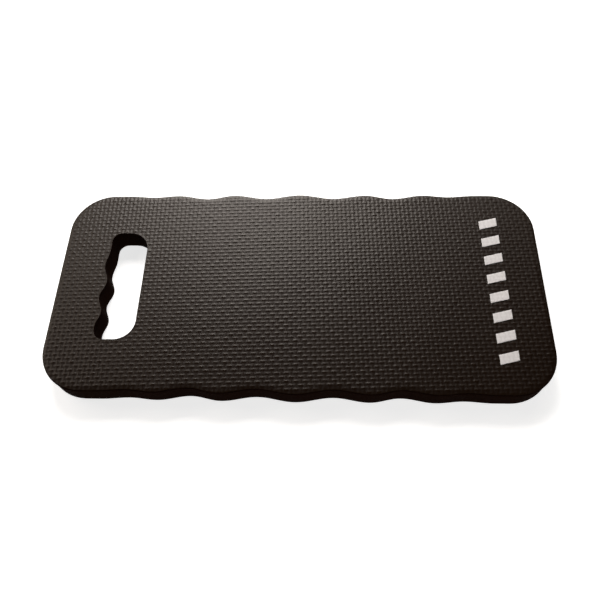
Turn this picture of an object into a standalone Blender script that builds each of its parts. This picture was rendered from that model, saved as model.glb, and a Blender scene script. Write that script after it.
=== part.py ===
"""Kneeling pad: a slab of closed-cell foam with wavy long sides, a hand slot and a printed end.

Frame: metres, +Z up, the origin at the middle of the underside. The pad's length runs along X with
the hand slot at -X and the print at +X, and its width runs along Y.
"""

import math

import bmesh
import bpy
from mathutils import Matrix, Vector

# Slab
PAD_LENGTH = 0.450
PAD_WIDTH = 0.208
PAD_THICKNESS = 0.0225
CORNER_RADIUS = 0.040
TOP_EDGE_RADIUS = 0.0015
BOTTOM_EDGE_RADIUS = 0.0010
EDGE_ROUND_SEGMENTS = 3

# Wave of each long side, from the middle of the side to its last crest: how far along, how deep.
# The other half of the side mirrors it, and half cosines join the crests and the troughs.
SIDE_WAVE = (
    (0.0000, 0.0000),
    (0.0335, 0.0043),
    (0.0650, 0.0004),
    (0.0920, 0.0045),
    (0.1220, 0.0006),
    (0.1465, 0.0025),
    (0.1720, 0.0011),
)

# Hand slot, cut through the slab parallel to the short ends. Its outer wall, towards the pad's end,
# has finger grooves: how far along from the slot's middle, how far out from the plain wall.
SLOT_OUTER_X = -0.1806
SLOT_INNER_X = -0.1455
SLOT_CENTRE_Y = 0.0015
SLOT_LENGTH = 0.112
SLOT_OUTER_CORNER = 0.009
SLOT_INNER_CORNER = 0.0185
FINGER_WAVE = (
    (0.0375, 0.0000),
    (0.0190, 0.0025),
    (0.0025, -0.0022),
    (-0.0140, 0.0024),
    (-0.0295, -0.0020),
    (-0.0440, 0.0015),
)

# Print: a row of slanted bars of white ink along the end away from the slot
BAR_COUNT = 8
BAR_PITCH = 0.0197
BAR_LENGTH = 0.0170
BAR_WIDTH = 0.0092
BAR_SLANT = 0.0040
BAR_THICKNESS = 0.0004
BAR_ROW_X = 0.1828
BAR_ROW_TURN = math.radians(1.0)

# Meshing
TOUCH_GAP = 0.0003
CORNER_SEGMENTS = 10
SLOT_CORNER_SEGMENTS = 6
WAVE_SEGMENTS = 6
CUTTER_OVERRUN = 0.005

FOAM_COLOUR = (0.052, 0.046, 0.042, 1.0)
INK_COLOUR = (0.72, 0.69, 0.66, 1.0)


def clear_scene():
    """Remove every object that the new file starts with."""
    for item in list(bpy.data.objects):
        bpy.data.objects.remove(item, do_unlink=True)


def make_material(name, colour, roughness):
    """A plain Principled material of one colour."""
    material = bpy.data.materials.new(name)
    material.use_nodes = True
    shader = material.node_tree.nodes["Principled BSDF"]
    shader.inputs["Base Color"].default_value = colour
    shader.inputs["Roughness"].default_value = roughness
    shader.inputs["Metallic"].default_value = 0.0
    material.diffuse_color = colour
    return material


def arc(centre, radius, start, sweep, segments):
    """Points of an arc, both ends included."""
    angles = (start + sweep * step / segments for step in range(segments + 1))
    return [(centre[0] + radius * math.cos(a), centre[1] + radius * math.sin(a)) for a in angles]


def wave(extremes):
    """Half cosines through a row of (distance along, depth) extremes, both ends included."""
    points = [extremes[0]]
    for (start, low), (end, high) in zip(extremes, extremes[1:]):
        for step in range(1, WAVE_SEGMENTS + 1):
            part = step / WAVE_SEGMENTS
            ease = (1.0 - math.cos(math.pi * part)) / 2.0
            points.append((start + (end - start) * part, low + (high - low) * ease))
    return points


def long_side():
    """The +Y side from its +X end to its -X end, corners left out."""
    mirrored = [(-along, depth) for along, depth in SIDE_WAVE[1:]]
    extremes = list(reversed(SIDE_WAVE)) + mirrored
    return [(along, PAD_WIDTH / 2 - depth) for along, depth in wave(extremes)]


def pad_outline():
    """The slab's outline, anticlockwise, as one corner and side turned half round for the rest."""
    corner_x = PAD_LENGTH / 2 - CORNER_RADIUS
    corner_y = PAD_WIDTH / 2 - SIDE_WAVE[-1][1] - CORNER_RADIUS
    quarter = math.pi / 2
    half = arc((corner_x, corner_y), CORNER_RADIUS, 0.0, quarter, CORNER_SEGMENTS)
    half += long_side()
    half += arc((-corner_x, corner_y), CORNER_RADIUS, quarter, quarter, CORNER_SEGMENTS)
    return half + [(-x, -y) for x, y in half]


def slot_outline():
    """The hand slot's outline, anticlockwise from the far end of its inner wall."""
    far = SLOT_CENTRE_Y + SLOT_LENGTH / 2
    near = SLOT_CENTRE_Y - SLOT_LENGTH / 2
    last_groove = FINGER_WAVE[-1][1]
    inner_x = SLOT_INNER_X - SLOT_INNER_CORNER
    outer_x = SLOT_OUTER_X + SLOT_OUTER_CORNER
    corners = (
        (inner_x, far - SLOT_INNER_CORNER, SLOT_INNER_CORNER),
        (outer_x, far - SLOT_OUTER_CORNER, SLOT_OUTER_CORNER),
        (outer_x - last_groove, near + SLOT_OUTER_CORNER, SLOT_OUTER_CORNER),
        (inner_x, near + SLOT_INNER_CORNER, SLOT_INNER_CORNER),
    )
    arcs = []
    for turn, (x, y, radius) in enumerate(corners):
        arcs.append(arc((x, y), radius, turn * math.pi / 2, math.pi / 2, SLOT_CORNER_SEGMENTS))
    grooves = [(SLOT_OUTER_X - out, SLOT_CENTRE_Y + along) for along, out in wave(FINGER_WAVE)]
    return arcs[0] + arcs[1] + grooves + arcs[2] + arcs[3]


def without_repeats(points, nearest=0.0002):
    """Drop points that all but repeat the one before them, round the closed outline."""
    kept = []
    for index, point in enumerate(points):
        before = Vector(points[index - 1])
        if (Vector(point) - before).length > nearest:
            kept.append(point)
    return kept


def prism(outline, bottom, top):
    """A bmesh of an outline drawn up from one height to another."""
    mesh = bmesh.new()
    ring = [mesh.verts.new((x, y, bottom)) for x, y in without_repeats(outline)]
    floor = mesh.faces.new(ring)
    lid = bmesh.ops.extrude_face_region(mesh, geom=[floor])
    raised = [item for item in lid["geom"] if isinstance(item, bmesh.types.BMVert)]
    bmesh.ops.translate(mesh, verts=raised, vec=(0.0, 0.0, top - bottom))
    bmesh.ops.recalc_face_normals(mesh, faces=mesh.faces[:])
    return mesh


def round_rim(mesh, height, radius):
    """Round the edges that lie at one height."""
    rim = [edge for edge in mesh.edges if all(abs(v.co.z - height) < 1e-6 for v in edge.verts)]
    bmesh.ops.bevel(
        mesh,
        geom=rim,
        offset=radius,
        segments=EDGE_ROUND_SEGMENTS,
        profile=0.5,
        affect="EDGES",
        clamp_overlap=False,
    )


def add_object(name, mesh, material=None):
    """Turn a bmesh into a linked object."""
    data = bpy.data.meshes.new(name)
    mesh.to_mesh(data)
    mesh.free()
    item = bpy.data.objects.new(name, data)
    bpy.context.scene.collection.objects.link(item)
    if material:
        data.materials.append(material)
    return item


def build_slot_cutter():
    """A guide the shape of the hand slot, longer than the slab is thick."""
    cutter = add_object(
        "slot_cutter",
        prism(slot_outline(), -CUTTER_OVERRUN, PAD_THICKNESS + CUTTER_OVERRUN),
    )
    cutter.hide_render = True
    cutter.display_type = "WIRE"
    return cutter


def build_foam_pad(cutter):
    """The slab: rounded rims outside, and the slot cut through with sharp rims."""
    mesh = prism(pad_outline(), 0.0, PAD_THICKNESS)
    round_rim(mesh, PAD_THICKNESS, TOP_EDGE_RADIUS)
    round_rim(mesh, 0.0, BOTTOM_EDGE_RADIUS)
    pad = add_object("foam_pad", mesh, make_material("foam", FOAM_COLOUR, 0.75))
    pad.data.shade_smooth()
    pad.data.set_sharp_from_angle(angle=math.radians(35))
    cut = pad.modifiers.new("hand_slot", "BOOLEAN")
    cut.operation = "DIFFERENCE"
    cut.solver = "EXACT"
    cut.object = cutter
    return pad


def bar_outline():
    """One slanted ink bar about its own middle: long along X, slanted along Y."""
    half_length = BAR_LENGTH / 2
    half_width = BAR_WIDTH / 2
    shift = BAR_SLANT / 2
    return [
        (-half_length, -half_width - shift),
        (half_length, -half_width + shift),
        (half_length, half_width + shift),
        (-half_length, half_width - shift),
    ]


def build_print_bars():
    """The row of ink bars, each a thin island a touching gap above the foam."""
    ink = make_material("ink", INK_COLOUR, 0.5)
    floor = PAD_THICKNESS + TOUCH_GAP
    for index in range(BAR_COUNT):
        along = ((BAR_COUNT - 1) / 2 - index) * BAR_PITCH
        mesh = prism(bar_outline(), 0.0, BAR_THICKNESS)
        place = Matrix.Rotation(BAR_ROW_TURN, 4, "Z") @ Matrix.Translation((0.0, along, 0.0))
        bar = add_object(f"print_bar_{index + 1}", mesh, ink)
        bar.matrix_world = Matrix.Translation((BAR_ROW_X, 0.0, floor)) @ place


def main():
    clear_scene()
    build_foam_pad(build_slot_cutter())
    build_print_bars()


main()
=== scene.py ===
"""Looks of the kneeling pad: embossed foam, eight ink bars, floor, lights and camera.

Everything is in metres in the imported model's frame: the pad lies along X with its hand slot at -X,
the print is at +X, and the underside is at z = 0.
"""

import math

import bmesh
import bpy
import numpy as np
from mathutils import Matrix, Vector
from mathutils.geometry import delaunay_2d_cdt


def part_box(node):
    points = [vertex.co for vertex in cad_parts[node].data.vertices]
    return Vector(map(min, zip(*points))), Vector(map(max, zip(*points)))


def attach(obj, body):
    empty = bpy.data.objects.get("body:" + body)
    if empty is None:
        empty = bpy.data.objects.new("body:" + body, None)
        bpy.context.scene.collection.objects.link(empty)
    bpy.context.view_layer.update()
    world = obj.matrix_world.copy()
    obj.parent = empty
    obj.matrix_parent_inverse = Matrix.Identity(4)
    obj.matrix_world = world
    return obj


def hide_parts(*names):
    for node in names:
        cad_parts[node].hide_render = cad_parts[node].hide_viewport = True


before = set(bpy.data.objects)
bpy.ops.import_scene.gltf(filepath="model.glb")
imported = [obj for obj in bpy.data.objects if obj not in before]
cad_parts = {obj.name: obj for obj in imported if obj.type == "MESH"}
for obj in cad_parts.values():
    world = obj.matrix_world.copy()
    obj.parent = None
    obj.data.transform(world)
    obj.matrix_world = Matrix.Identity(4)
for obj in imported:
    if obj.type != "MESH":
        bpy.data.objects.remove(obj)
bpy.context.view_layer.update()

# Camera: the view from above the near long side
LENS = 35.8
SENSOR = 36.0
VIEW_TARGET = (0.0019, -0.0029, 0.0)
VIEW_DISTANCE = 0.5688
VIEW_ELEVATION = math.radians(62.87)
VIEW_YAW = math.radians(-5.15)
VIEW_ROLL = math.radians(-4.27)

# Foam body
PAD_NODE = "foam_pad"
PAD_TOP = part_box(PAD_NODE)[1][2]
OUTER_SPACING = 0.0016
SLOT_SPACING = 0.0014
STRAIGHT_RUN = 0.007
STRAIGHT_STEP = 0.004
CURVE_STEPS = 8
LEAST_TURN = math.radians(0.4)
SAME_POINT = 1e-6
ON_PLANE = 1e-7

# Walls, from the underside up. The rounds are turned in the steps given
TOP_ROUND = 0.0012
BOTTOM_ROUND = 0.0010
SLOT_ROUND = 0.0005
BOTTOM_TURNS = (math.radians(45.0), math.radians(90.0))
TOP_TURNS = (math.radians(30.0), math.radians(60.0), math.radians(90.0))
WALL_HOLLOW = 0.00022
WALL_STEPS = (0.30, 0.70)
WALL_WEAVE = 0.6
WALL_RIPPLE = 0.00010
# Waves per metre along X, along Y and up, all in radians, then the phase and the share
RIPPLE_WAVES = ((190.0, 130.0, 260.0, 0.0, 0.65), (-470.0, 610.0, 900.0, 1.0, 0.35))

# The top's slow unevenness, and the way it rolls down towards the pad's own side
SWELL_HEIGHT = 0.00012
# Waves per metre along X and along Y, in radians, then the phase and the share
SWELL_WAVES = ((31.0, 17.0, 0.4, 0.5), (-22.0, 41.0, 2.1, 0.5), (71.0, -38.0, 4.0, 0.3))
ROLL_WIDTH = 0.0042
ROLL_DROP = 0.00044
RIM_WIDTH = 0.004
RIM_START = 0.8

# Weave pressed into the top: columns run across the pad, rows along it
COLUMN_PITCH = 0.00411
ROW_PITCH = 0.00375
WEAVE_TURN = math.radians(2.05)
WEAVE_DEPTH = 0.00047
WEAVE_CREST = 0.00010
WEAVE_MEAN = 0.72
WEAVE_MOST = 1.25
COLUMN_SAMPLES = (0.125, 0.375, 0.625, 0.875)
ROW_SAMPLES = (0.0, 0.28, 0.5, 0.72)
GRID_MARGIN = 0.0007
WEAVE_FADE = 0.0009
WEAVE_AT_RIM = 0.35

# Half sizes of a dash and of a rib along the row and the column, at the flat back and at the foot
DASH_BACK, DASH_FOOT = (0.38, 0.03), (0.66, 0.42)
RIB_BACK, RIB_FOOT = (0.11, 0.20), (0.37, 1.05)
RIB_HEIGHT = 0.70

# How much the weave's cells differ in height and in slope, from a table that repeats
CELL_CHANCE = 0.05
CELL_TILT = 0.06
CELL_TABLE = 160

# Underside
BASE_SPACING = 0.012

# Ink
INK_NODES = sorted(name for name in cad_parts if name.startswith("print_bar_"))
INK_STEP = 0.00045
INK_FILL = 0.65
INK_CLEAR = 0.00003
INK_THICKNESS = 0.00008
INK_EDGE_SHARE = 0.4
INK_EDGE_WANDER = 0.00005

SEED = 7


def unit(vector):
    """A 2-D array of vectors, each made one long."""
    return vector / np.linalg.norm(vector, axis=-1, keepdims=True)


# Outlines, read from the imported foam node


def slice_loops(node, height):
    """The closed outlines of a node at one height, as arrays of plan points."""
    mesh = bmesh.new()
    mesh.from_mesh(node.data)
    bmesh.ops.remove_doubles(mesh, verts=mesh.verts, dist=SAME_POINT)
    everything = mesh.verts[:] + mesh.edges[:] + mesh.faces[:]
    bmesh.ops.bisect_plane(
        mesh,
        geom=everything,
        dist=ON_PLANE,
        plane_co=(0.0, 0.0, height),
        plane_no=(0.0, 0.0, 1.0),
        clear_inner=True,
        clear_outer=True,
    )
    loops, used = [], set()
    for start in mesh.verts:
        if start in used or len(start.link_edges) != 2:
            continue
        loop, here = [], start
        while here is not None:
            used.add(here)
            loop.append(here.co.xy[:])
            ahead = [edge.other_vert(here) for edge in here.link_edges]
            here = next((vert for vert in ahead if vert not in used), None)
        loops.append(np.array(loop))
    mesh.free()
    return loops


def without_straight_points(loop):
    """Drop the points where an outline doesn't turn."""
    before = unit(loop - np.roll(loop, 1, axis=0))
    after = unit(np.roll(loop, -1, axis=0) - loop)
    turn = np.abs(before[:, 0] * after[:, 1] - before[:, 1] * after[:, 0])
    return loop[turn > math.sin(LEAST_TURN)]


def with_straight_steps(loop):
    """Add points along the long straight runs, so that a curve through them stays straight."""
    points = []
    for start, end in zip(loop, np.roll(loop, -1, axis=0)):
        length = np.linalg.norm(end - start)
        steps = max(1, round(length / STRAIGHT_STEP)) if length > STRAIGHT_RUN else 1
        points += [start + (end - start) * step / steps for step in range(steps)]
    return np.array(points)


def curve_through(loop):
    """A smooth closed curve through an outline's points."""
    ahead = np.roll(loop, -1, axis=0)
    span = np.linalg.norm(ahead - loop, axis=1)
    slope = (ahead - loop) / span[:, None]
    span_before, slope_before = np.roll(span, 1), np.roll(slope, 1, axis=0)
    tangent = slope_before * span[:, None] + slope * span_before[:, None]
    tangent /= (span + span_before)[:, None]
    tangent_ahead = np.roll(tangent, -1, axis=0)
    curve = []
    for part in np.arange(CURVE_STEPS) / CURVE_STEPS:
        start = 2 * part**3 - 3 * part**2 + 1
        leave = part**3 - 2 * part**2 + part
        reach = part**3 - part**2
        point = start * loop + (1 - start) * ahead
        curve.append(point + span[:, None] * (leave * tangent + reach * tangent_ahead))
    return np.stack(curve, axis=1).reshape(-1, 2)


def evenly_spaced(loop, spacing):
    """A closed outline again, with points at equal steps along it."""
    closed = np.vstack([loop, loop[:1]])
    along = np.concatenate([[0.0], np.cumsum(np.linalg.norm(np.diff(closed, axis=0), axis=1))])
    count = round(along[-1] / spacing)
    steps = np.arange(count) * along[-1] / count
    return np.stack([np.interp(steps, along, closed[:, axis]) for axis in (0, 1)], axis=1)


def signed_area(loop):
    """The area inside an outline, negative when the outline runs clockwise."""
    x, y = loop.T
    return 0.5 * np.sum(x * np.roll(y, -1) - y * np.roll(x, -1))


def read_outlines():
    """The pad's outline and the slot's, both with the foam on their left."""
    outer, slot = sorted(
        slice_loops(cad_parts[PAD_NODE], PAD_TOP / 2),
        key=lambda loop: -abs(signed_area(loop)),
    )
    found = []
    for loop, spacing, wanted in ((outer, OUTER_SPACING, 1), (slot, SLOT_SPACING, -1)):
        loop = curve_through(with_straight_steps(without_straight_points(loop)))
        loop = evenly_spaced(loop, spacing)
        found.append(loop if signed_area(loop) * wanted > 0 else loop[::-1])
    return found


def into_foam(loop):
    """Unit vectors from each point of an outline into the foam on its left."""
    along = unit(np.roll(loop, -1, axis=0) - np.roll(loop, 1, axis=0))
    return np.stack([-along[:, 1], along[:, 0]], axis=1)


def depth_inside(points, loops, chunk=2000):
    """How far each point lies inside the foam between the loops, negative outside it."""
    starts = np.vstack(loops)
    steps = np.vstack([np.roll(loop, -1, axis=0) - loop for loop in loops])
    lengths = np.sum(steps**2, axis=1)
    depths = []
    for first in range(0, len(points), chunk):
        offset = points[first : first + chunk, None, :] - starts[None]
        part = np.clip(np.sum(offset * steps, axis=2) / lengths, 0.0, 1.0)
        nearest = np.linalg.norm(offset - part[..., None] * steps, axis=2).min(axis=1)
        above_start = offset[..., 1] >= 0
        above_end = offset[..., 1] - steps[:, 1] >= 0
        turn = steps[:, 0] * offset[..., 1] - steps[:, 1] * offset[..., 0]
        crossed = (above_start != above_end) & ((turn > 0) == above_start)
        depths.append(np.where(crossed.sum(axis=1) % 2 == 1, nearest, -nearest))
    return np.concatenate(depths)


# The weave

WEAVE_AXES = np.array(
    [
        [math.cos(WEAVE_TURN), math.sin(WEAVE_TURN)],
        [-math.sin(WEAVE_TURN), math.cos(WEAVE_TURN)],
    ]
)
WEAVE_PITCH = np.array([COLUMN_PITCH, ROW_PITCH])
CELL_RANDOM = np.random.default_rng(SEED)
CELL_CHANCES = CELL_RANDOM.normal(0.0, CELL_CHANCE, (CELL_TABLE, CELL_TABLE))
CELL_TILTS = CELL_RANDOM.normal(0.0, CELL_TILT, (CELL_TABLE, CELL_TABLE))


def ease(part):
    """0 to 1 with a gentle start and end, held outside that range."""
    part = np.clip(part, 0.0, 1.0)
    return part * part * (3.0 - 2.0 * part)


def to_weave(points):
    """Plan points as columns and rows of the weave."""
    return points @ WEAVE_AXES.T / WEAVE_PITCH


def from_weave(cells):
    """Columns and rows of the weave as plan points."""
    return (cells * WEAVE_PITCH) @ WEAVE_AXES


def mound(off_column, off_row, back, foot):
    """A mound's height at an offset from its middle: 1 on its back and 0 from its foot on."""
    height = 1.0
    for off, inner, outer in zip((off_column, off_row), back, foot):
        height = height * (1.0 - ease((off - inner) / (outer - inner)))
    return height


def weave_height(points):
    """The weave's height at plan points: 0 in its holes and about 1 on its crests."""
    cells = to_weave(points)
    index = np.floor(cells).astype(int)
    across = cells - index - 0.5
    off_column, off_row = np.abs(across).T
    dash_cell = index.sum(axis=1) % 2 == 0
    from_dash = np.where(dash_cell, off_column, 1.0 - off_column)
    from_rib = np.where(dash_cell, 1.0 - off_row, off_row)
    dash = mound(from_dash, off_row, DASH_BACK, DASH_FOOT)
    rib = RIB_HEIGHT * mound(off_column, from_rib, RIB_BACK, RIB_FOOT)
    place = index[:, 0] % CELL_TABLE, index[:, 1] % CELL_TABLE
    inner = np.prod(1.0 - (2.0 * np.abs(across)) ** 4, axis=1)
    chance = CELL_CHANCES[place] + CELL_TILTS[place] * across[:, 1]
    return np.clip(np.maximum(dash, rib) + chance * inner, 0.0, WEAVE_MOST)


def swell(points):
    """The pad's slow unevenness in height."""
    x, y = points.T
    waves = (share * np.sin(kx * x + ky * y + phase) for kx, ky, phase, share in SWELL_WAVES)
    return SWELL_HEIGHT * sum(waves)


def skin_height(points, depth, from_side):
    """The top's height and its weave value at plan points.

    The points lie a depth inside both rims, and the given way in from the pad's own side.
    """
    shown = ease(depth / WEAVE_FADE + WEAVE_AT_RIM)
    weave = WEAVE_MEAN + (weave_height(points) - WEAVE_MEAN) * shown
    roll = ROLL_DROP * (1.0 - np.clip(from_side / ROLL_WIDTH, 0.0, 1.0)) ** 2
    return PAD_TOP + WEAVE_CREST + WEAVE_DEPTH * (weave - 1.0) + swell(points) - roll, weave


# The foam body

FINISHES = {"skin": 0, "cut": 1, "base": 2}


def sheet_quads(sheet):
    """The four corners of each cell of a grid of point numbers."""
    corners = (sheet[:-1, :-1], sheet[1:, :-1], sheet[1:, 1:], sheet[:-1, 1:])
    return np.stack(corners, axis=-1)


class Shell:
    """Points and faces of one body while it is put together."""

    def __init__(self):
        self.points, self.weave, self.rim, self.faces, self.finish = [], [], [], [], []
        self.count = 0

    def add_points(self, points, weave=0.5, rim=0.0):
        """Add points and return their numbers."""
        numbers = self.count + np.arange(len(points))
        self.points.append(points)
        self.weave.append(np.broadcast_to(weave, len(points)))
        self.rim.append(np.broadcast_to(rim, len(points)))
        self.count += len(points)
        return numbers

    def add_faces(self, faces, finish):
        """Add faces, each given by the numbers of its points, in one finish."""
        faces = [tuple(int(corner) for corner in face) for face in faces]
        self.faces += faces
        self.finish += [finish] * len(faces)

    def add_band(self, low, high, finish):
        """Join two rings that have the same number of points."""
        quads = np.stack([low, np.roll(low, -1), np.roll(high, -1), high], axis=1)
        self.add_faces(quads, finish)

    def make(self, name, materials):
        """Link the body as an object, with the weave and the rim as values of its points."""
        mesh = bpy.data.meshes.new(name)
        mesh.from_pydata(np.vstack(self.points).tolist(), [], self.faces)
        for material in materials:
            mesh.materials.append(material)
        mesh.polygons.foreach_set("material_index", self.finish)
        mesh.shade_smooth()
        for label, values in (("weave", self.weave), ("rim", self.rim)):
            layer = mesh.attributes.new(label, "FLOAT", "POINT")
            layer.data.foreach_set("value", np.concatenate(values).astype(np.float32))
        mesh.update()
        piece = bpy.data.objects.new(name, mesh)
        bpy.context.scene.collection.objects.link(piece)
        return piece


def ripple(points, height):
    """Small unevenness of the cut wall, by place along it and height."""
    x, y = points.T
    waves = (
        share * np.sin(kx * x + ky * y + kz * height + phase)
        for kx, ky, kz, phase, share in RIPPLE_WAVES
    )
    return WALL_RIPPLE * sum(waves)


def wall_profile(top, top_round, bottom_round):
    """(inset, height, finish of the band below) up one wall, from the underside to the top."""
    profile = [(bottom_round, 0.0, "cut")]
    for turn in BOTTOM_TURNS:
        inset = bottom_round * (1.0 - math.sin(turn))
        profile.append((inset, bottom_round * (1.0 - math.cos(turn)), "cut"))
    low, high = bottom_round, top - top_round
    for part in WALL_STEPS:
        profile.append((WALL_HOLLOW, low + (high - low) * part, "cut"))
    profile.append((0.0, high, "cut"))
    for turn in TOP_TURNS:
        inset = top_round * (1.0 - math.cos(turn))
        finish = "skin" if turn == TOP_TURNS[-1] else "cut"
        profile.append((inset, high + top_round * math.sin(turn), finish))
    return profile


def build_wall(shell, loop, roll, top_round, bottom_round):
    """One wall of the foam. Returns its lowest ring and its highest, as numbers and plan points."""
    inward = into_foam(loop)
    top = PAD_TOP - roll
    from_side = 0.0 if roll else ROLL_WIDTH
    rings = []
    for inset, height, finish in wall_profile(top, top_round, bottom_round):
        plan = loop + inward * inset
        if bottom_round < height < top - top_round - SAME_POINT:
            plan = plan + inward * ripple(loop, height)[:, None]
        if height > top - SAME_POINT:
            level, weave = skin_height(plan, np.zeros(len(plan)), from_side)
        else:
            level, weave = height + swell(plan) * height / PAD_TOP, WALL_WEAVE
        near_top = ease((height / PAD_TOP - RIM_START) / (1.0 - RIM_START))
        ring = shell.add_points(np.column_stack([plan, level]), weave, near_top)
        if rings:
            shell.add_band(rings[-1][0], ring, FINISHES[finish])
        rings.append((ring, plan))
    return rings[0], rings[-1]


def triangulate(points, edges, wanted):
    """Triangles between points, with edges kept, where wanted says so for their middles."""
    made = delaunay_2d_cdt([Vector(point) for point in points], edges, [], 0, ON_PLANE, True)
    corners, faces, originals = made[0], made[2], made[3]
    if len(corners) != len(points):
        raise RuntimeError("the triangulation added points of its own")
    number = [original[0] for original in originals]
    faces = np.array([[number[corner] for corner in face] for face in faces])
    a, b, c = (points[faces[:, corner]] for corner in range(3))
    clockwise = np.cross(b - a, c - a) < 0
    faces[clockwise] = faces[clockwise][:, ::-1]
    return faces[wanted((a + b + c) / 3.0)]


def ring_edges(first, count):
    """The edges of a closed ring of points that are numbered on from the first."""
    return [(first + step, first + (step + 1) % count) for step in range(count)]


def grid_border(quads):
    """The edges of a grid that only one of its wanted cells has, as flat node numbers."""
    flat = np.arange((quads.shape[0] + 1) * (quads.shape[1] + 1))
    flat = flat.reshape(quads.shape[0] + 1, quads.shape[1] + 1)
    padded = np.pad(quads, 1)
    along_rows = np.argwhere(padded[1:, 1:-1] != padded[:-1, 1:-1])
    along_columns = np.argwhere(padded[1:-1, 1:] != padded[1:-1, :-1])
    edges = [(flat[i, j], flat[i, j + 1]) for i, j in along_rows]
    return edges + [(flat[i, j], flat[i + 1, j]) for i, j in along_columns]


def corners_of(quads):
    """Which nodes of a grid belong to its wanted cells."""
    used = np.zeros((quads.shape[0] + 1, quads.shape[1] + 1), bool)
    for step_x, step_y in ((0, 0), (1, 0), (0, 1), (1, 1)):
        used[step_x : step_x + quads.shape[0], step_y : step_y + quads.shape[1]] |= quads
    return used


def build_top(shell, rings):
    """The embossed top: a grid on the weave, and triangles from the grid's edge to the rims."""
    ring_loops = [plan for _, plan in rings]
    reach = np.ceil(np.abs(to_weave(np.vstack(ring_loops))).max(axis=0)).astype(int)
    columns, rows = (
        np.add.outer(np.arange(-count, count), samples).ravel()
        for count, samples in zip(reach, (COLUMN_SAMPLES, ROW_SAMPLES))
    )
    cells = np.stack(np.meshgrid(columns, rows, indexing="ij"), axis=-1)
    plan = from_weave(cells.reshape(-1, 2))
    depth = depth_inside(plan, ring_loops)
    quads = sheet_quads((depth > GRID_MARGIN).reshape(cells.shape[:2])).all(axis=-1)
    level, weave = skin_height(plan, depth, depth_inside(plan, ring_loops[:1]))
    near_rim = ease(1.0 - depth / RIM_WIDTH)
    kept = np.flatnonzero(corners_of(quads))
    numbers = np.full(len(plan), -1)
    numbers[kept] = shell.add_points(
        np.column_stack([plan, level])[kept], weave[kept], near_rim[kept]
    )
    shell.add_faces(sheet_quads(numbers.reshape(cells.shape[:2]))[quads], FINISHES["skin"])

    edges = grid_border(quads)
    border = sorted({end for edge in edges for end in edge})
    place = {node: number for number, node in enumerate(border)}
    points = [plan[node] for node in border]
    number_of = [numbers[node] for node in border]
    kept_edges = [(place[a], place[b]) for a, b in edges]
    for ring, loop in rings:
        kept_edges += ring_edges(len(points), len(loop))
        points += list(loop)
        number_of += list(ring)

    def in_strip(middles):
        across, along = to_weave(middles).T
        column = np.clip(np.searchsorted(columns, across) - 1, 0, quads.shape[0] - 1)
        row = np.clip(np.searchsorted(rows, along) - 1, 0, quads.shape[1] - 1)
        return (depth_inside(middles, ring_loops) > 0) & ~quads[column, row]

    strip = triangulate(np.array(points), kept_edges, in_strip)
    shell.add_faces(np.array(number_of)[strip], FINISHES["skin"])


def build_underside(shell, rings):
    """The flat underside, triangulated round a coarse grid of points."""
    loops = [plan for _, plan in rings]
    reach = np.abs(np.vstack(loops)).max(axis=0)
    axes = [np.arange(-limit, limit, BASE_SPACING) for limit in reach]
    grid = np.stack(np.meshgrid(*axes, indexing="ij"), axis=-1).reshape(-1, 2)
    grid = grid[depth_inside(grid, loops) > BASE_SPACING / 2]
    number_of = list(shell.add_points(np.column_stack([grid, np.zeros(len(grid))])))
    points, edges = list(grid), []
    for ring, loop in rings:
        edges += ring_edges(len(points), len(loop))
        points += list(loop)
        number_of += list(ring)
    faces = triangulate(np.array(points), edges, lambda middles: depth_inside(middles, loops) > 0)
    shell.add_faces(np.array(number_of)[faces][:, ::-1], FINISHES["base"])


def build_foam(materials):
    """The whole foam body as one closed mesh."""
    outer, slot = read_outlines()
    shell = Shell()
    outer_low, outer_high = build_wall(shell, outer, ROLL_DROP, TOP_ROUND, BOTTOM_ROUND)
    slot_low, slot_high = build_wall(shell, slot, 0.0, SLOT_ROUND, SLOT_ROUND)
    build_top(shell, (outer_high, slot_high))
    build_underside(shell, (outer_low, slot_low))
    piece = shell.make("foam_body", materials)
    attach(piece, "root")
    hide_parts(PAD_NODE)
    return piece


# Ink


def bar_corners(node):
    """The plan corners of one bar's top, anticlockwise."""
    points = np.array([vert.co[:] for vert in node.data.vertices])
    top = np.unique(np.round(points[points[:, 2] > points[:, 2].max() - 1e-5][:, :2], 6), axis=0)
    middle = top.mean(axis=0)
    return top[np.argsort(np.arctan2(*(top - middle).T[::-1]))]


def bar_grid(node, chance):
    """A grid over one bar in plan with a slightly uneven edge, what is edge, and its counts."""
    a, b, c, d = bar_corners(node)
    counts = [round(np.linalg.norm(end - a) / INK_STEP) + 1 for end in (b, d)]
    s, t = np.meshgrid(*(np.linspace(0, 1, count) for count in counts), indexing="ij")
    s, t = s.ravel()[:, None], t.ravel()[:, None]
    plan = (1 - t) * ((1 - s) * a + s * b) + t * ((1 - s) * d + s * c)
    edge = (np.abs(s - 0.5) == 0.5) | (np.abs(t - 0.5) == 0.5)
    outward = unit(plan - plan.mean(axis=0))
    plan = plan + outward * edge * chance.normal(0.0, INK_EDGE_WANDER, s.shape)
    return plan, edge[:, 0], counts


def sheet_outline(sheet):
    """The point numbers round the outside of a grid, anticlockwise."""
    return np.concatenate([sheet[:-1, 0], sheet[-1, :-1], sheet[:0:-1, -1], sheet[0, :0:-1]])


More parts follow.
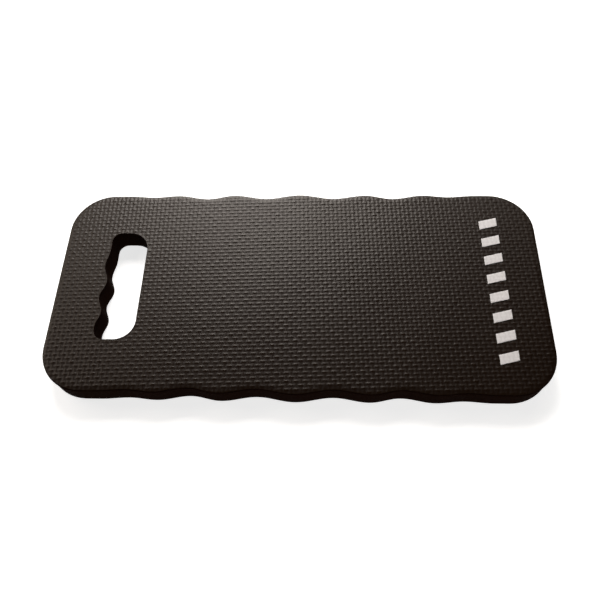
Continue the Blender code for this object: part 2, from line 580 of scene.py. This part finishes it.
def build_ink_bar(name, node_name, material, chance):
    """One island of ink: a thin closed skin that follows the weave under it."""
    plan, edge, counts = bar_grid(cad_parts[node_name], chance)
    weave = weave_height(plan)
    level = PAD_TOP + WEAVE_CREST + swell(plan)
    level = level + WEAVE_DEPTH * (weave + INK_FILL * (WEAVE_MOST - weave) - 1.0) + INK_CLEAR
    thickness = INK_THICKNESS * np.where(edge, INK_EDGE_SHARE, 1.0)
    shell = Shell()
    low = shell.add_points(np.column_stack([plan, level]), weave).reshape(counts)
    high = shell.add_points(np.column_stack([plan, level + thickness]), weave).reshape(counts)
    shell.add_faces(sheet_quads(high).reshape(-1, 4), 0)
    shell.add_faces(sheet_quads(low).reshape(-1, 4)[:, ::-1], 0)
    shell.add_band(sheet_outline(low), sheet_outline(high), 0)
    piece = shell.make(name, [material])
    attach(piece, "root")
    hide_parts(node_name)


# Materials


class Recipe:
    """Short calls for building one material's nodes."""

    def __init__(self, name):
        self.material = bpy.data.materials.new(name)
        self.material.use_nodes = True
        self.tree = self.material.node_tree
        self.shader = self.tree.nodes["Principled BSDF"]
        self.place = self.add("ShaderNodeTexCoord").outputs["Object"]

    def add(self, kind, inputs=None, **settings):
        """A new node, with its inputs fed and its settings set."""
        node = self.tree.nodes.new(kind)
        for key, value in settings.items():
            setattr(node, key, value)
        for key, value in (inputs or {}).items():
            self.feed(node.inputs[key], value)
        return node

    def feed(self, socket, value):
        """Link a socket to another one, or give it a plain value."""
        if isinstance(value, bpy.types.NodeSocket):
            self.tree.links.new(value, socket)
        else:
            socket.default_value = value

    def math(self, operation, first, second=0.0, third=0.0):
        node = self.add("ShaderNodeMath", {0: first, 1: second, 2: third}, operation=operation)
        return node.outputs[0]

    def noise(self, scale, detail=2.0, roughness=0.5, stretch=(1.0, 1.0, 1.0)):
        """Soft noise of 0 to 1, with its cells per metre."""
        place = self.add("ShaderNodeMapping", {"Vector": self.place, "Scale": stretch})
        inputs = {"Vector": place.outputs[0], "Scale": scale, "Detail": detail}
        inputs["Roughness"] = roughness
        return self.add("ShaderNodeTexNoise", inputs).outputs["Fac"]

    def pores(self, scale):
        """Round cells, low at their middles, with their number per metre."""
        inputs = {"Vector": self.place, "Scale": scale}
        return self.add("ShaderNodeTexVoronoi", inputs).outputs["Distance"]

    def attribute(self, name):
        """A value that the mesh's points carry."""
        return self.add("ShaderNodeAttribute", attribute_name=name).outputs["Fac"]

    def between(self, value, low, high, to_low=0.0, to_high=1.0):
        """A value from one range to another, held at its ends."""
        inputs = {"Value": value, 1: low, 2: high, 3: to_low, 4: to_high}
        return self.add("ShaderNodeMapRange", inputs, clamp=True).outputs["Result"]

    def blend(self, part, first, second):
        """The first colour at 0 and the second at 1."""
        node = self.add("ShaderNodeMix", {"Factor": part}, data_type="RGBA")
        self.feed(node.inputs[6], first)
        self.feed(node.inputs[7], second)
        return node.outputs[2]

    def bump(self, height, distance, strength=1.0, normal=None):
        """A normal from heights of 0 to 1 over a distance, on top of another normal."""
        node = self.add(
            "ShaderNodeBump", {"Height": height, "Distance": distance, "Strength": strength}
        )
        if normal is not None:
            self.feed(node.inputs["Normal"], normal)
        return node.outputs[0]

    def finish(self, constants, **linked):
        """Set the shader's plain inputs, feed the others and return the material."""
        for name, value in constants.items():
            self.shader.inputs[name].default_value = value
        for name, value in linked.items():
            self.feed(self.shader.inputs[name.replace("_", " ")], value)
        return self.material


# Foam skin. Scales are per metre and bumps in metres; a pair of weave or noise values is where a look
# starts and where it is full
SKIN_DARK = (0.0056, 0.0020, 0.0007, 1.0)
SKIN_LIGHT = (0.0106, 0.0047, 0.0018, 1.0)
SKIN_DUST = (0.042, 0.034, 0.026, 1.0)
SKIN_GLOSS = {"Specular IOR Level": 0.26, "IOR": 1.50, "Specular Tint": (1.0, 0.96, 0.92, 1.0)}
SKIN_PATCHES, SKIN_MOTTLE, SKIN_GRAIN = 14.0, 260.0, 1700.0
SKIN_CREST = (0.20, 1.00)
# Random patches of tone, and painted shade that darkens the weave's grooves against its crests
SKIN_SHADE_OF_PATCHES, SKIN_PAINTED_GROOVE_SHADE = 0.5, 0.6
SKIN_DUST_FROM = (0.56, 0.78)
SKIN_DUST_SHARE, SKIN_DUST_AT_RIM = 0.12, 0.18
SKIN_DULL = 0.20
SKIN_DULL_OF_PATCHES, SKIN_DULL_OF_GROOVE, SKIN_DULL_OF_GRAIN = 0.06, 0.14, 0.06
SKIN_BUMP, SKIN_MOTTLE_STRENGTH = 0.00006, 0.5

# Cut walls
CUT_DARK = (0.0042, 0.0014, 0.0007, 1.0)
CUT_LIGHT = (0.0082, 0.0031, 0.0017, 1.0)
CUT_GLOSS = {"Specular IOR Level": 0.004, "IOR": 1.45}
CUT_PORES, CUT_HOLES, CUT_PATCHES, CUT_DRAG = 2300.0, 900.0, 60.0, 420.0
CUT_DRAG_STRETCH = (1.0, 1.0, 0.15)
# Random patches of tone, and painted shade in the pores' middles
CUT_PAINTED_PORE_SHADE, CUT_SHADE_OF_PATCHES = 0.6, 0.7
CUT_BUMP, CUT_HOLE_STRENGTH = 0.00009, 0.7
CUT_DRAG_BUMP, CUT_DRAG_STRENGTH = 0.00015, 0.5
CUT_DULL, CUT_DULL_OF_PATCHES = 0.75, 0.15

# Underside
BASE_GLOSS = {"Specular IOR Level": 0.40, "IOR": 1.50}
BASE_PATCHES, BASE_GRAIN = 18.0, 1500.0
# Random patches of tone, and painted shade between the weave's pillows
BASE_SHADE_OF_PATCHES, BASE_PAINTED_GROOVE_SHADE = 0.5, 0.4
BASE_BUMP, BASE_PILLOW_BUMP, BASE_PILLOW_POWER = 0.00006, 0.00030, 0.6
BASE_DULL, BASE_DULL_OF_PATCHES = 0.50, 0.12

# Ink
INK_WHITE = (0.770, 0.755, 0.765, 1.0)
INK_WORN = (0.600, 0.585, 0.585, 1.0)
INK_GLOSS = {"Specular IOR Level": 0.35, "IOR": 1.48}
INK_MOTTLE, INK_SPECKS = 900.0, 2600.0
INK_THIN_FROM, INK_THIN_SHARE = (0.60, 0.05), 0.35
INK_WORN_FROM, INK_WORN_SHARE = (0.60, 0.80), 0.4
INK_BUMP = 0.00003
INK_DULL, INK_DULL_OF_MOTTLE = 0.45, 0.2

GRAIN_ROUGHNESS = 0.65
MOTTLE_ROUGHNESS = 0.6


def skin_material():
    """The pressed foam skin: satin on the weave's crests and dull in its grooves, with painted shade
    that darkens the grooves' colour.
    """
    recipe = Recipe("foam_skin")
    weave = recipe.attribute("weave")
    rim = recipe.attribute("rim")
    patches = recipe.noise(SKIN_PATCHES, 3.0)
    mottle = recipe.noise(SKIN_MOTTLE, 3.0, MOTTLE_ROUGHNESS)
    grain = recipe.noise(SKIN_GRAIN, 3.0, GRAIN_ROUGHNESS)
    crest = recipe.between(weave, *SKIN_CREST)
    # Painted shade: the weave's grooves get the darker colour and its crests the lighter one, mixed
    # with random patches of tone
    tone_and_painted_shade = recipe.math("MULTIPLY", crest, SKIN_PAINTED_GROOVE_SHADE)
    tone_and_painted_shade = recipe.math("MULTIPLY_ADD", patches, SKIN_SHADE_OF_PATCHES, tone_and_painted_shade)
    dust = recipe.math("MULTIPLY", recipe.between(mottle, *SKIN_DUST_FROM), crest)
    shown = recipe.math("MULTIPLY_ADD", rim, SKIN_DUST_AT_RIM, SKIN_DUST_SHARE)
    colour = recipe.blend(tone_and_painted_shade, SKIN_DARK, SKIN_LIGHT)
    colour = recipe.blend(recipe.math("MULTIPLY", dust, shown), colour, SKIN_DUST)
    groove = recipe.math("SUBTRACT", 1.0, crest)
    dull = recipe.math("MULTIPLY_ADD", patches, SKIN_DULL_OF_PATCHES, SKIN_DULL)
    dull = recipe.math("MULTIPLY_ADD", groove, SKIN_DULL_OF_GROOVE, dull)
    dull = recipe.math("MULTIPLY_ADD", grain, SKIN_DULL_OF_GRAIN, dull)
    normal = recipe.bump(grain, SKIN_BUMP)
    normal = recipe.bump(mottle, SKIN_BUMP, SKIN_MOTTLE_STRENGTH, normal)
    return recipe.finish(SKIN_GLOSS, Base_Color=colour, Roughness=dull, Normal=normal)


def cut_material():
    """The die-cut wall: matt foam with fine open pores, their middles painted darker as shade."""
    recipe = Recipe("foam_cut")
    pores = recipe.pores(CUT_PORES)
    holes = recipe.pores(CUT_HOLES)
    patches = recipe.noise(CUT_PATCHES, 4.0)
    drag = recipe.noise(CUT_DRAG, stretch=CUT_DRAG_STRETCH)
    # Painted shade: each pore's middle gets the darker colour, mixed with random patches of tone
    tone_and_painted_shade = recipe.math("MULTIPLY", patches, CUT_SHADE_OF_PATCHES)
    tone_and_painted_shade = recipe.math("MULTIPLY_ADD", pores, CUT_PAINTED_PORE_SHADE, tone_and_painted_shade)
    normal = recipe.bump(pores, CUT_BUMP)
    normal = recipe.bump(holes, CUT_BUMP, CUT_HOLE_STRENGTH, normal)
    normal = recipe.bump(drag, CUT_DRAG_BUMP, CUT_DRAG_STRENGTH, normal)
    return recipe.finish(
        CUT_GLOSS,
        Base_Color=recipe.blend(tone_and_painted_shade, CUT_DARK, CUT_LIGHT),
        Roughness=recipe.math("MULTIPLY_ADD", patches, CUT_DULL_OF_PATCHES, CUT_DULL),
        Normal=normal,
    )


def weave_pillows(recipe):
    """The weave as soft pillows of 0 to 1, for the underside's bump and its painted shade between the
    pillows.
    """
    turned = recipe.add(
        "ShaderNodeMapping",
        {
            "Vector": recipe.place,
            "Rotation": (0.0, 0.0, -WEAVE_TURN),
            "Scale": (math.pi / COLUMN_PITCH, math.pi / ROW_PITCH, 1.0),
        },
    )
    cells = recipe.add("ShaderNodeSeparateXYZ", {0: turned.outputs[0]})
    waves = [recipe.math("SINE", cells.outputs[axis]) for axis in (0, 1)]
    pillow = recipe.math("ABSOLUTE", recipe.math("MULTIPLY", *waves))
    return recipe.math("POWER", pillow, BASE_PILLOW_POWER)


def base_material():
    """The underside: plain pressed skin with the weave faintly in its bump, and painted shade that
    darkens its colour between the weave's pillows.
    """
    recipe = Recipe("foam_base")
    patches = recipe.noise(BASE_PATCHES, 3.0)
    grain = recipe.noise(BASE_GRAIN, 3.0, GRAIN_ROUGHNESS)
    pillow = weave_pillows(recipe)
    # Painted shade: the colour is darker between the weave's pillows, mixed with random patches of
    # tone
    tone_and_painted_shade = recipe.math("MULTIPLY", pillow, BASE_PAINTED_GROOVE_SHADE)
    tone_and_painted_shade = recipe.math("MULTIPLY_ADD", patches, BASE_SHADE_OF_PATCHES, tone_and_painted_shade)
    normal = recipe.bump(grain, BASE_BUMP)
    normal = recipe.bump(pillow, BASE_PILLOW_BUMP, normal=normal)
    return recipe.finish(
        BASE_GLOSS,
        Base_Color=recipe.blend(tone_and_painted_shade, SKIN_DARK, SKIN_LIGHT),
        Roughness=recipe.math("MULTIPLY_ADD", patches, BASE_DULL_OF_PATCHES, BASE_DULL),
        Normal=normal,
    )


def ink_material():
    """Screen-printed white ink, greyer over the weave's holes and in small worn spots."""
    recipe = Recipe("print_ink")
    weave = recipe.attribute("weave")
    mottle = recipe.noise(INK_MOTTLE, 4.0, MOTTLE_ROUGHNESS)
    specks = recipe.noise(INK_SPECKS)
    thin = recipe.between(weave, *INK_THIN_FROM, 0.0, INK_THIN_SHARE)
    worn = recipe.between(mottle, *INK_WORN_FROM, 0.0, INK_WORN_SHARE)
    return recipe.finish(
        INK_GLOSS,
        Base_Color=recipe.blend(recipe.math("MAXIMUM", thin, worn), INK_WHITE, INK_WORN),
        Roughness=recipe.math("MULTIPLY_ADD", mottle, INK_DULL_OF_MOTTLE, INK_DULL),
        Normal=recipe.bump(specks, INK_BUMP),
    )


# Floor, lights and camera

FLOOR_SIZE = 12.0
FLOOR_DROP = 0.0002
FLOOR_COLOUR = (0.88, 0.88, 0.88, 1.0)
FLOOR_GLOW = 0.85
FLOOR_FINISH = {
    "Base Color": FLOOR_COLOUR,
    "Roughness": 0.9,
    "Specular IOR Level": 0.1,
    "Emission Color": FLOOR_COLOUR,
    "Emission Strength": FLOOR_GLOW,
}
WORLD_LIGHT = (0.006, 0.005, 0.004, 1.0)
WORLD_SEEN = (0.80, 0.80, 0.80, 1.0)

# Name, azimuth from +Y towards +X and elevation in degrees, distance, width, height, watts, colour
LIGHTS = (
    ("key", -11.5, 39.5, 1.35, 0.74, 0.70, 20.2, (1.0, 0.955, 0.91)),
    ("right", 27.0, 38.0, 1.40, 0.70, 0.55, 2.2, (1.0, 0.92, 0.84)),
    ("left", -64.0, 37.0, 1.40, 0.80, 0.50, 4.2, (1.0, 0.90, 0.80)),
    ("low", 146.0, 20.0, 1.60, 1.20, 0.60, 4.2, (1.0, 0.97, 0.94)),
)


def build_floor():
    """A wide pale floor that glows a little, so that it shows almost white."""
    data = bpy.data.meshes.new("floor")
    half = FLOOR_SIZE / 2
    corners = [(-half, -half), (half, -half), (half, half), (-half, half)]
    data.from_pydata([(x, y, -FLOOR_DROP) for x, y in corners], [], [(0, 1, 2, 3)])
    floor = bpy.data.objects.new("floor", data)
    bpy.context.scene.collection.objects.link(floor)
    data.materials.append(Recipe("floor_paper").finish(FLOOR_FINISH))


def build_world():
    """Dim light from all round, seen as a pale backdrop by the camera."""
    world = bpy.data.worlds.new("studio")
    bpy.context.scene.world = world
    world.use_nodes = True
    tree = world.node_tree
    tree.nodes.clear()
    output = tree.nodes.new("ShaderNodeOutputWorld")
    mix = tree.nodes.new("ShaderNodeMixShader")
    path = tree.nodes.new("ShaderNodeLightPath")
    tree.links.new(path.outputs["Is Camera Ray"], mix.inputs[0])
    for slot, colour in ((1, WORLD_LIGHT), (2, WORLD_SEEN)):
        background = tree.nodes.new("ShaderNodeBackground")
        background.inputs["Color"].default_value = colour
        tree.links.new(background.outputs[0], mix.inputs[slot])
    tree.links.new(mix.outputs[0], output.inputs["Surface"])


def build_lights():
    """Soft studio lights that all point at the pad's middle and that the camera doesn't see."""
    for name, azimuth, elevation, distance, width, height, power, colour in LIGHTS:
        turn, rise = math.radians(azimuth), math.radians(elevation)
        towards = Vector(
            (math.sin(turn) * math.cos(rise), math.cos(turn) * math.cos(rise), math.sin(rise))
        )
        data = bpy.data.lights.new(name, "AREA")
        data.shape = "RECTANGLE"
        data.size, data.size_y = width, height
        data.energy = power
        data.color = colour
        lamp = bpy.data.objects.new(name, data)
        lamp.location = towards * distance
        lamp.rotation_euler = towards.to_track_quat("Z", "Y").to_euler()
        lamp.visible_camera = False
        bpy.context.scene.collection.objects.link(lamp)


def build_camera():
    """A camera that looks at the target along the view's yaw and elevation, rolled a little."""
    level, steep = math.cos(VIEW_ELEVATION), math.sin(VIEW_ELEVATION)
    forward = Vector((math.sin(VIEW_YAW) * level, math.cos(VIEW_YAW) * level, -steep))
    right = Vector((math.cos(VIEW_YAW), -math.sin(VIEW_YAW), 0.0))
    up = right.cross(forward)
    rolled_right = right * math.cos(VIEW_ROLL) + up * math.sin(VIEW_ROLL)
    rolled_up = up * math.cos(VIEW_ROLL) - right * math.sin(VIEW_ROLL)
    data = bpy.data.cameras.new("view")
    data.lens, data.sensor_width = LENS, SENSOR
    camera = bpy.data.objects.new("view", data)
    turned = Matrix((rolled_right, rolled_up, -forward)).transposed().to_4x4()
    camera.matrix_world = Matrix.Translation(Vector(VIEW_TARGET) - forward * VIEW_DISTANCE) @ turned
    bpy.context.scene.collection.objects.link(camera)
    bpy.context.scene.camera = camera


def main():
    bpy.context.scene.view_settings.view_transform = "Standard"
    build_camera()
    build_world()
    build_lights()
    build_floor()
    build_foam([skin_material(), cut_material(), base_material()])
    ink = ink_material()
    chance = np.random.default_rng(SEED + 1)
    for number, node_name in enumerate(INK_NODES, start=1):
        build_ink_bar(f"ink_bar_{number}", node_name, ink, chance)


main()
